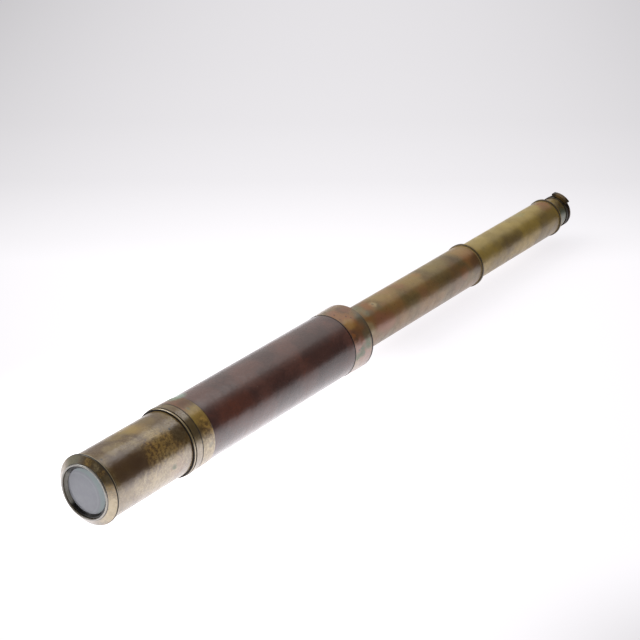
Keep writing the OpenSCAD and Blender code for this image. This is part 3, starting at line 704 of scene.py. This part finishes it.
def lens_glass(name, dust_amount, front=False):
    """Ground and polished glass with a thin even film of dust, which greys what lies behind it.
    The front lens also has a painted green-blue reflection round its edge and a faint painted
    arc of reflection, as from its rear faces."""
    finish, tree, shader, place = blank_finish(name)
    dust = cloud(tree, place, 5, 0.35, 0.75, 5, 0.65, 5)
    colour = laid_on(tree, "glass", "#cfd2d8", dust, 0.3)
    if front:
        # Painted reflections on the front lens: a green-blue rim and a pale arc round a point off
        # the axis
        centre = on_surface(3, 236, 6)
        away = add(tree, "ShaderNodeVectorMath", [place, centre], "Value", operation="DISTANCE")
        edge = add(tree, "ShaderNodeMapRange", [away, 15.7, 17.6], **SMOOTH)
        colour = laid_on(tree, colour, "#b2c6c4", edge, 0.7)
        off = add(tree, "ShaderNodeMath", [away, 14.6], operation="SUBTRACT")
        off = add(tree, "ShaderNodeMath", [off], operation="ABSOLUTE")
        arc = add(tree, "ShaderNodeMapRange", [off, 0.8, 0.2], **SMOOTH)
        colour = laid_on(tree, colour, "#d9dfe4", arc, 0.25)
    feed(tree, shader, {
        "Base Color": colour, "IOR": GLASS_IOR, "Transmission Weight": 1 - dust_amount,
        "Roughness": built_up(tree, 0.03, (dust, 0.05))})
    return finish


# Operators, one for each piece or group of like pieces


class TELESCOPE_OT_objective(bpy.types.Operator):
    """Objective cell with its rounded lip and the blacked ring before the lenses"""
    bl_idname = "telescope.objective"
    bl_label = "Objective"

    def execute(self, context):
        size = sizes()
        bezel = size["bezel_radius"]
        skirt = size["front_tube_radius"] - TUBE_WALL - FIT
        groove = bezel - 0.25
        # The pale brass band at 6.1 mm is a painted highlight round the bezel's rear rim
        brass = aged_brass(
            "bezel_brass_tarnished", radius=23, seed=11, brown=0.6, stains=BEZEL_STAINS,
            bands=((0.3, 1.0, "lip_grey", 0.8), (6.1, 1.1, "pale_brass", 1.0)),
            joints=((5.2, 0.7), (0.98, 0.12)))
        turned_piece("bezel", [
            (LENS_REAR, LENS_SEAT), (0, LENS_SEAT, 0.42), (0, 19.9, 0.42), (0.95, 19.9),
            (1.1, 20.25, 0.1), (4.8, bezel, 0.4), (5.3, bezel), (5.4, groove), (5.6, groove),
            (5.65, bezel, 0.1), (6.25, bezel, 0.2), (6.25, 23.5), (6.65, 23.5), (6.65, skirt),
            (14.65, skirt), (14.65, CELL_BORE), (10.5, CELL_BORE), (10.5, LENS_OPENING),
            (LENS_REAR, LENS_OPENING)],
            "barrel", ["objective_bezel"], brass)
        ring = LENS_SEAT - FIT
        # Grey patches on the ring's face, from 240 to 290 degrees round it
        grey_patches = [(on_surface(1.5, angle, ring), 5) for angle in (240, 265, 290)]
        turned_piece("blacked_lens_ring", [
            (1.3, ring, 0.1), (3.1, ring), (3.1, LENS_OPENING), (2.6, LENS_OPENING, 0.08),
            (1.3, 17.55, 0.08)],
            "barrel", ["lens_retaining_ring"],
            matt_blacking("lens_ring_blacking", 0.25, grey_patches))
        return {"FINISHED"}


class TELESCOPE_OT_front_tube(bpy.types.Operator):
    """Plain brass tube behind the objective"""
    bl_idname = "telescope.front_tube"
    bl_label = "Front tube"

    def execute(self, context):
        size = sizes()
        brass = aged_brass(
            "front_tube_brass_mottled", radius=24, seed=2, brown=0.4, mottle=0.28,
            stains=FRONT_TUBE_STAINS, joints=((7.0, 0.65),), coat=0.66)
        profile = tube_profile("front_tube", size["front_tube_radius"], TUBE_WALL)
        profile[0] += (size["edge_round"],)
        turned_piece("front_brass_tube", profile, "barrel", ["front_tube"], brass)
        return {"FINISHED"}


class TELESCOPE_OT_collar(bpy.types.Operator):
    """Collar with its bead and band, and the ferrule behind it"""
    bl_idname = "telescope.collar"
    bl_label = "Collar and front ferrule"

    def execute(self, context):
        size = sizes()
        wide = size["collar_radius"]
        barrel = size["barrel_radius"]
        edge = size["edge_round"]
        front, rear = ends_of("objective_collar")
        band_end = ends_of("front_ferrule")[0]
        # The pale brass band at 83.5 mm is a painted highlight round the collar's bead
        brass = aged_brass(
            "collar_brass_dull", "olive_brass", "umber_brass", radius=25.5, seed=5, brown=0.3,
            mottle=0.12, stains=COLLAR_STAINS, bands=((83.5, 0.8, "pale_brass", 0.6),),
            joints=((front, 0.25), (84.55, 0.45), (band_end, 0.6)), coat=0.75)
        turned_piece("beaded_collar", [
            (front, SOCKET_BORE), (front, 25.5, 0.7), (84.3, 25.5, 0.45), (84.3, 25.0),
            (84.8, 25.0), (84.8, wide, edge), (band_end, wide, edge), (band_end, COLLAR_NOSE),
            (rear, COLLAR_NOSE), (rear, COLLAR_BORE), (87.6, COLLAR_BORE), (87.6, SOCKET_BORE)],
            "barrel", ["objective_collar"], brass)
        front, rear = ends_of("front_ferrule")
        brass = aged_brass(
            "front_ferrule_brass_patched", radius=25.5, seed=7, brown=0.2, mottle=0.3,
            stains=FRONT_FERRULE_STAINS, joints=((band_end, 0.6), (rear, 0.2)), coat=0.5)
        turned_piece("front_ferrule_sleeve", [
            (front, NOSE_SEAT), (front, wide - 0.05, 0.1), (rear - 0.4, barrel + 0.4, 0.2),
            (rear, barrel + 0.1), (rear, SPIGOT_BORE), (95.4, SPIGOT_BORE), (95.4, NOSE_SEAT)],
            "barrel", ["front_ferrule"], brass)
        return {"FINISHED"}


class TELESCOPE_OT_barrel(bpy.types.Operator):
    """Polished wooden barrel, turned down at both ends"""
    bl_idname = "telescope.barrel"
    bl_label = "Wooden barrel"

    def execute(self, context):
        outer = sizes()["barrel_radius"]
        front, rear = ends_of("barrel_tube")
        turned_piece("wooden_barrel", [
            (front, WOOD_BORE), (front, WOOD_SPIGOT), (SHOULDERS[0], WOOD_SPIGOT),
            (SHOULDERS[0], outer, 0.1), (SHOULDERS[1], outer, 0.1), (SHOULDERS[1], WOOD_SPIGOT),
            (rear, WOOD_SPIGOT), (rear, WOOD_BORE)],
            "barrel", ["barrel_tube"], polished_barrel())
        return {"FINISHED"}


class TELESCOPE_OT_rear_ferrule(bpy.types.Operator):
    """Rear ferrule with the mouth for the first draw"""
    bl_idname = "telescope.rear_ferrule"
    bl_label = "Rear ferrule"

    def execute(self, context):
        size = sizes()
        proud = size["rear_radius"]
        barrel = size["barrel_radius"]
        front, rear = ends_of("rear_ferrule")
        mouth = size["draw_1_radius"] + FREE_FIT
        # The dark line at the rear rim is kept to one side, round 108 degrees, and takes the gloss
        # off there
        brass = aged_brass(
            "rear_ferrule_brass_patched", "tan_brass", "copper_pink", radius=25.5, seed=9,
            brown=0.25, mottle=0.12, stains=REAR_FERRULE_STAINS,
            joints=((front, 0.5), (rear, 2.6, 108, 24)))
        turned_piece("rear_ferrule_sleeve", [
            (front, SPIGOT_BORE), (front, barrel + 0.1), (front + 0.3, barrel + 0.25, 0.1),
            (rear - 6, proud), (rear, proud, 0.4), (rear, mouth, 0.15), (rear - 2.8, mouth),
            (rear - 2.8, WOOD_BORE), (284.2, WOOD_BORE), (284.2, SPIGOT_BORE)],
            "barrel", ["rear_ferrule"], brass)
        return {"FINISHED"}


class TELESCOPE_OT_first_draw(bpy.types.Operator):
    """First draw tube with its thin end ring"""
    bl_idname = "telescope.first_draw"
    bl_label = "First draw"

    def execute(self, context):
        outer = sizes()["draw_1_radius"]
        mouth = sizes()["draw_2_radius"] + FREE_FIT
        ferrule_end = ends_of("rear_ferrule")[1]
        # The pale brass band at 466.7 mm is a painted highlight on the tube just before its end
        # ring
        brass = aged_brass(
            "first_draw_brass_patched", "tan_brass", radius=17.4, seed=4, mottle=0.12, pink=0.25,
            stains=FIRST_DRAW_STAINS, bands=((466.7, 0.6, "pale_brass", 0.7),),
            joints=((ferrule_end, 0.4),), coat=0.5, haze=0.28)
        turned_piece("first_draw_tube", tube_profile("draw_1_tube", outer, DRAW_WALL),
                     "draw_1", ["draw_1_tube"], brass)
        front, rear = ends_of("draw_1_end_ring")
        ring = radius_of("draw_1_end_ring")
        seat = outer + FIT
        lip = rear - 1.4
        # The pale brass band at 469.9 mm is a painted highlight round the end ring's rear edge
        dark = aged_brass(
            "end_ring_brass_black", "olive_brass", "straw_brass", radius=ring, seed=8, brown=0.3,
            mottle=0.1, bands=((469.9, 0.5, "pale_brass", 0.6),),
            joints=((467.6, 0.75), (601.4, 0.85)), coat=0.5)
        turned_piece("first_draw_end_ring", [
            (front, seat), (front, ring, 0.5), (rear, ring, 0.5), (rear, mouth, 0.12),
            (lip, mouth), (lip, seat)],
            "draw_1", ["draw_1_end_ring"], dark)
        return {"FINISHED"}


class TELESCOPE_OT_second_draw(bpy.types.Operator):
    """Second draw tube with its thin end ring"""
    bl_idname = "telescope.second_draw"
    bl_label = "Second draw"

    def execute(self, context):
        outer = sizes()["draw_2_radius"]
        brass = aged_brass(
            "second_draw_brass_olive", "straw_brass", radius=15.8, seed=6, brown=0.25, mottle=0.08,
            stains=SECOND_DRAW_STAINS, joints=((470.2, 0.3),), coat=0.38, haze=0.33)
        turned_piece("second_draw_tube", tube_profile("draw_2_tube", outer, DRAW_WALL),
                     "draw_2", ["draw_2_tube"], brass)
        front, rear = ends_of("draw_2_end_ring")
        ring = radius_of("draw_2_end_ring")
        seat = outer + FIT
        sleeve = outer - DRAW_WALL - FIT
        lip = rear - 1.3
        turned_piece("second_draw_end_ring", [
            (rear - 2.5, seat), (rear - 2.5, ring, 0.42), (rear, ring, 0.42),
            (rear, SLEEVE_BORE, 0.1), (front, SLEEVE_BORE), (front, sleeve), (lip, sleeve),
            (lip, seat)],
            "draw_2", ["draw_2_end_ring"],
            bpy.data.materials["end_ring_brass_black"])
        return {"FINISHED"}


class TELESCOPE_OT_eyepiece(bpy.types.Operator):
    """Eyepiece head with its dark rear flange"""
    bl_idname = "telescope.eyepiece"
    bl_label = "Eyepiece head"

    def execute(self, context):
        flange = sizes()["eyepiece_radius"]
        waist = flange - 0.8
        nose, rear = ends_of("eyepiece_body")
        front = ends_of("draw_2_end_ring")[1]
        seat = radius_of("eyepiece_tube") + FIT
        hole = radius_of("eye_lens") + FIT
        step = rear - 2.9
        wall = rear - 1.5
        chamber = rear - 6.5
        rim = tuple((rear, angle, size, "black_brass", strength)
                    for angle, size, strength in RIM_OXIDE)
        brass = aged_brass(
            "eyepiece_brass_brown", "olive_brass", "umber_brass", radius=13.2, seed=14, mottle=0.3,
            stains=EYEPIECE_STAINS + rim,
            joints=((step, 0.25), (front, 0.3), (rear - 1.2, 1.5)), coat=0.55, haze=0.24)
        turned_piece("eyepiece_head", [
            (nose, seat), (nose, seat + 0.85), (front, seat + 0.85), (front, waist, 0.2),
            (step, waist), (step, flange, 0.5), (rear, flange, 0.3), (rear, EYE_HOLE),
            (wall, EYE_HOLE), (wall, hole), (chamber, hole), (chamber, seat)],
            "draw_2", ["eyepiece_body"], brass)
        return {"FINISHED"}


class TELESCOPE_OT_inner_finishes(bpy.types.Operator):
    """Gives the solids that stay their own finishes"""
    bl_idname = "telescope.inner_finishes"
    bl_label = "Finishes of the other solids"

    def execute(self, context):
        inner = plain_brass()
        black = matt_blacking("inner_blacking", 0.6)
        front_glass = lens_glass("objective_glass_dusty", 0.68, front=True)
        clear_glass = lens_glass("inner_lens_glass", 0.03)
        cap = aged_brass("cap_brass_black", "black_brass", "brown_brass", radius=14, seed=15,
                         brown=0.4, mottle=0.06, coat=0.3)
        lug = aged_brass("shutter_brass_dark", "black_brass", "umber_brass", radius=20, seed=17,
                         brown=0.15, mottle=0.05, coat=0.15)
        pin = aged_brass("pin_brass_brown", "brown_brass", "black_brass", radius=25.5, seed=16,
                         brown=0.5, mottle=0.05)
        by_slot = {"inner_brass": inner, "blacked_brass": black, "eye_cap_brass": cap,
                   "eyepiece_brass": inner, "pin_brass": pin, "lens_glass": clear_glass}
        by_node = {"crown_lens": front_glass, "flint_lens": front_glass, "eyepiece_shutter": lug}
        for part in frame["record"]["subparts"]:
            finish = by_node.get(part["node"], by_slot.get(part["material_slot"]))
            if finish:
                for slot in frame["nodes"][part["node"]].material_slots:
                    slot.material = finish
        return {"FINISHED"}


class TELESCOPE_OT_stage(bpy.types.Operator):
    """Pale floor, soft light and the camera"""
    bl_idname = "telescope.stage"
    bl_label = "Stage"

    def execute(self, context):
        group = context.scene.telescope_stage
        bm = bmesh.new()
        bmesh.ops.create_grid(bm, x_segments=4, y_segments=4, size=FLOOR_REACH,
                              matrix=Matrix.Translation((0, 0, SOLE)))
        mesh = bpy.data.meshes.new("paper_floor")
        bm.to_mesh(mesh)
        bm.free()
        floor = bpy.data.objects.new("paper_floor", mesh)
        context.scene.collection.objects.link(floor)
        floor.data.materials.append(paper_floor())
        white_room(context.scene, group.dome_strength)
        soft_lamp("far_window", group.window_power, *FAR_WINDOW)
        soft_lamp("overhead_box", group.streak_power, *OVERHEAD_BOX)
        camera = bpy.data.cameras.new("photo_view")
        camera.lens = group.camera_lens
        camera.sensor_width = 36
        camera.clip_start = 0.02
        holder = bpy.data.objects.new("photo_view", camera)
        context.scene.collection.objects.link(holder)
        place = Vector(group.camera_place)
        aim(holder, place, place - Vector(group.camera_back))
        context.scene.camera = holder
        context.scene.view_settings.view_transform = "Standard"
        return {"FINISHED"}


def aim(thing, place, target):
    """Stands a camera or lamp at a place, looking at a target"""
    thing.location = place
    thing.rotation_euler = (target - place).to_track_quat("-Z", "Y").to_euler()


def soft_lamp(name, power, extent, place):
    """A rectangular lamp that looks at the telescope"""
    lamp = bpy.data.lights.new(name, "AREA")
    lamp.shape = "RECTANGLE"
    lamp.size, lamp.size_y = extent
    lamp.energy = power
    holder = bpy.data.objects.new(name, lamp)
    bpy.context.scene.collection.objects.link(holder)
    holder.visible_camera = False
    aim(holder, Vector(place), Vector(LAMP_TARGET))


def seen_rays(tree):
    """A mask for camera rays alone, and one for all rays that show the background: those from
    the camera, in gloss and through glass"""
    path = add(tree, "ShaderNodeLightPath", out=None).outputs
    seen = path["Is Camera Ray"]
    for kind in ("Is Glossy Ray", "Is Transmission Ray"):
        seen = add(tree, "ShaderNodeMath", [seen, path[kind]], operation="MAXIMUM")
    return path["Is Camera Ray"], seen


def paper_floor():
    """White background paper lit from above, with a painted glow: white near the telescope, greyer
    away from it and past the end of the sheet, with the telescope's own soft shadow on it."""
    finish = bpy.data.materials.new("background_paper")
    tree = cleared_tree(finish)
    where = add(tree, "ShaderNodeTexCoord", out="Object")
    turned = add(tree, "ShaderNodeMapping", {
        "Vector": where, "Rotation": (0, 0, PAPER_TURN), "Location": PAPER_START},
        vector_type="TEXTURE")
    away, aside = add(tree, "ShaderNodeSeparateXYZ", [turned], None).outputs[:2]
    along = add(tree, "ShaderNodeMath", [away, 1 / TONE_LENGTH], operation="MULTIPLY")
    ramp = add(tree, "ShaderNodeValToRGB", [along], None)
    stops = ramp.color_ramp.elements
    for number, (spot, tone) in enumerate(TONES):
        stop = stops[number] if number < 2 else stops.new(spot)
        stop.position = spot
        stop.color = (tone, tone, tone, 1)
    square = add(tree, "ShaderNodeMath", [aside, aside], operation="MULTIPLY")
    side = built_up(tree, 1, (square, SIDE_FALL))
    level = add(tree, "ShaderNodeMath", [ramp.outputs[0], side], operation="MULTIPLY")
    slant = built_up(tree, aside, (away, SHEET_SLANT))
    sheet = add(tree, "ShaderNodeMapRange", [slant, *SHEET_END, PAST_SHEET], **SMOOTH)
    level = add(tree, "ShaderNodeMath", [level, sheet], operation="MULTIPLY")
    for centre, stretch, reach, tones in ZONES:
        way = add(tree, "ShaderNodeVectorMath", [where, centre], operation="SUBTRACT")
        way = add(tree, "ShaderNodeVectorMath", [way, stretch], operation="MULTIPLY")
        off = add(tree, "ShaderNodeVectorMath", [way], "Value", operation="LENGTH")
        zone = add(tree, "ShaderNodeMapRange", [off, 0, reach, *tones], **SMOOTH)
        level = add(tree, "ShaderNodeMath", [level, zone], operation="MULTIPLY")
    level = add(tree, "ShaderNodeMath", [level, DARKEST_PAPER], operation="MAXIMUM")
    glow = add(tree, "ShaderNodeEmission", {
        "Strength": GLOW, "Color": laid_on(tree, BLACK, GLOW_TINT, level)})
    paper = add(tree, "ShaderNodeBsdfDiffuse", {
        "Color": laid_on(tree, BLACK, "paper", level, PAPER)})
    shown = add(tree, "ShaderNodeAddShader", [glow, paper])
    plain = add(tree, "ShaderNodeBsdfDiffuse", {"Color": colour_of("paper")})
    seen = seen_rays(tree)[1]
    both = add(tree, "ShaderNodeMixShader", [seen, plain, shown])
    add(tree, "ShaderNodeOutputMaterial", {"Surface": both}, None)
    return finish


def white_room(scene, strength):
    """Room with a white backdrop behind the telescope and a white ceiling. The sides of the
    room are unlit, and the tubes mirror them as a dark band."""
    world = bpy.data.worlds.new("white_room")
    tree = cleared_tree(world)
    way = add(tree, "ShaderNodeTexCoord", out="Generated")
    edges = []
    for facing, soft in ((BACKDROP_WAY, 0.1), (BACKDROP_SLOPE, 0.05)):
        share = add(tree, "ShaderNodeVectorMath", [way, facing], "Value", operation="DOT_PRODUCT")
        edges.append(add(tree, "ShaderNodeMapRange", [share, -soft, soft], **SMOOTH))
    backdrop = add(tree, "ShaderNodeMath", [edges[0], edges[1]], operation="MULTIPLY")
    up = add(tree, "ShaderNodeSeparateXYZ", [way], "Z")
    ceiling = add(tree, "ShaderNodeMapRange", [up, *CEILING], **SMOOTH)
    lit = add(tree, "ShaderNodeMath", [backdrop, ceiling], operation="MAXIMUM")
    from_camera, seen = seen_rays(tree)
    lighting = add(tree, "ShaderNodeMapRange", [lit, 0, 1, UNLIT_SHARE * strength, strength])
    mirrored = add(tree, "ShaderNodeMapRange", [lit, 0, 1, *MIRRORED])
    level = add(tree, "ShaderNodeMix", {0: seen, 2: lighting, 3: mirrored}, data_type="FLOAT")
    shown = add(tree, "ShaderNodeMix", {0: from_camera, 2: level, 3: CAMERA_WHITE},
                data_type="FLOAT")
    sky = add(tree, "ShaderNodeBackground", {"Color": (1, 1, 1, 1), "Strength": shown})
    add(tree, "ShaderNodeOutputWorld", {"Surface": sky}, None)
    scene.world = world


class TELESCOPE_PT_sidebar(bpy.types.Panel):
    """Lists the telescope's pieces, sizes and colours"""
    bl_idname = "TELESCOPE_PT_sidebar"
    bl_label = "Hand telescope"
    bl_space_type = "VIEW_3D"
    bl_region_type = "UI"
    bl_category = "Telescope"

    def draw(self, context):
        for operator in PIECES:
            self.layout.operator(operator.bl_idname)
        for group in (context.scene.telescope_sizes, context.scene.telescope_colours,
                      context.scene.telescope_stage):
            box = self.layout.box()
            for key in group.__annotations__:
                box.prop(group, key)


PIECES = (TELESCOPE_OT_objective, TELESCOPE_OT_front_tube, TELESCOPE_OT_collar,
          TELESCOPE_OT_barrel, TELESCOPE_OT_rear_ferrule, TELESCOPE_OT_first_draw,
          TELESCOPE_OT_second_draw, TELESCOPE_OT_eyepiece, TELESCOPE_OT_inner_finishes,
          TELESCOPE_OT_stage)
CLASSES = (TelescopeSizes, TelescopeColours, TelescopeStage) + PIECES + (TELESCOPE_PT_sidebar,)


def register():
    for item in CLASSES:
        bpy.utils.register_class(item)
    bpy.types.Scene.telescope_sizes = PointerProperty(type=TelescopeSizes)
    bpy.types.Scene.telescope_colours = PointerProperty(type=TelescopeColours)
    bpy.types.Scene.telescope_stage = PointerProperty(type=TelescopeStage)


def unregister():
    del bpy.types.Scene.telescope_stage
    del bpy.types.Scene.telescope_colours
    del bpy.types.Scene.telescope_sizes
    for item in reversed(CLASSES):
        bpy.utils.unregister_class(item)


def main():
    """Makes the pieces and the stage"""
    register()
    bpy.ops.telescope.objective()
    bpy.ops.telescope.front_tube()
    bpy.ops.telescope.collar()
    bpy.ops.telescope.barrel()
    bpy.ops.telescope.rear_ferrule()
    bpy.ops.telescope.first_draw()
    bpy.ops.telescope.second_draw()
    bpy.ops.telescope.eyepiece()
    bpy.ops.telescope.inner_finishes()
    bpy.ops.telescope.stage()


if __name__ == "__main__":
    main()
